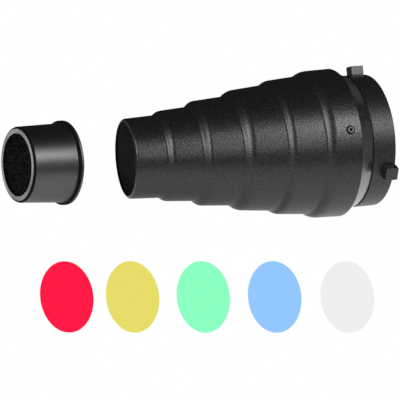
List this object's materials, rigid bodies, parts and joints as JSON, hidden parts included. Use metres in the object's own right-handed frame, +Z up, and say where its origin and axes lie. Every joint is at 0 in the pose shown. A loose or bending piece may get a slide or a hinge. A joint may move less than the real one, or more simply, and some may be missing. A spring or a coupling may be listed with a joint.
{
  "type": "snoot",
  "caption": "Black stepped conical snoot for a studio lamp, with a bayonet ring, a push-on honeycomb cap and loose colour discs.",
  "frame": {"origin": "on the floor, under the middle of the whole layout; the snoot's axis is parallel to X, in the plane y = 0, 186.9 mm above the floor", "axes": "+Z up, +X along the snoot's axis from its mouth to its bayonet ring, -Y the side the cap and the discs are turned towards"},
  "size_m": [0.3774, 0.1557, 0.2619],
  "materials": {
    "black_powder_coat": "fine-textured matt black powder coat on spun aluminium",
    "black_satin": "smooth satin black paint",
    "grey_anodised": "satin grey",
    "black_honeycomb": "matt black foil",
    "rivet_black": "satin black, worn",
    "zinc_steel": "dull zinc",
    "film_red": "translucent colour film",
    "film_yellow": "translucent colour film",
    "film_green": "translucent colour film",
    "film_blue": "translucent colour film",
    "film_white": "translucent diffusing film"
  },
  "bodies": {
    "snoot_body": {"snoot_cone": "black_powder_coat", "bayonet_ring": "black_powder_coat", "bayonet_lug_1": "black_powder_coat", "lug_screw_1": "zinc_steel", "body_rivet_1": "rivet_black", "rivet_mandrel_1": "zinc_steel", "bayonet_lug_2": "black_powder_coat", "lug_screw_2": "zinc_steel", "body_rivet_2": "rivet_black", "rivet_mandrel_2": "zinc_steel", "bayonet_lug_3": "black_powder_coat", "lug_screw_3": "zinc_steel", "body_rivet_3": "rivet_black", "rivet_mandrel_3": "zinc_steel"},
    "grid_cap": {"cap_sleeve": "black_satin", "cap_bezel": "grey_anodised", "honeycomb_core": "black_honeycomb", "core_snap_ring": "zinc_steel"},
    "red_disc": {"gel_red": "film_red"},
    "yellow_disc": {"gel_yellow": "film_yellow"},
    "green_disc": {"gel_green": "film_green"},
    "blue_disc": {"gel_blue": "film_blue"},
    "white_disc": {"gel_white": "film_white"}
  },
  "joints": [
    {"name": "cap_swing", "type": "hinge", "parent": "snoot_body", "child": "grid_cap", "pos_m": [-0.0651, -0.23578, 0.27412], "axis": [0, -0.3469, -0.9379], "range_deg": [0, 15.44]},
    {"name": "gel_red_swing", "type": "hinge", "parent": "snoot_body", "child": "red_disc", "pos_m": [-0.08793, -0.01549, 0.09697], "axis": [0.9419, 0.2424, -0.2327], "range_deg": [0, 125.89]},
    {"name": "gel_yellow_slide", "type": "slide", "parent": "snoot_body", "child": "yellow_disc", "axis": [0.5202, -0.854, 0], "range_m": [0, 0.08]},
    {"name": "gel_green_slide", "type": "slide", "parent": "snoot_body", "child": "green_disc", "axis": [0.4794, -0.8776, 0], "range_m": [0, 0.08]},
    {"name": "gel_blue_slide", "type": "slide", "parent": "snoot_body", "child": "blue_disc", "axis": [0.4371, -0.8994, 0], "range_m": [0, 0.08]},
    {"name": "gel_white_slide", "type": "slide", "parent": "snoot_body", "child": "white_disc", "axis": [0.3931, -0.9195, 0], "range_m": [0, 0.08]}
  ]
}
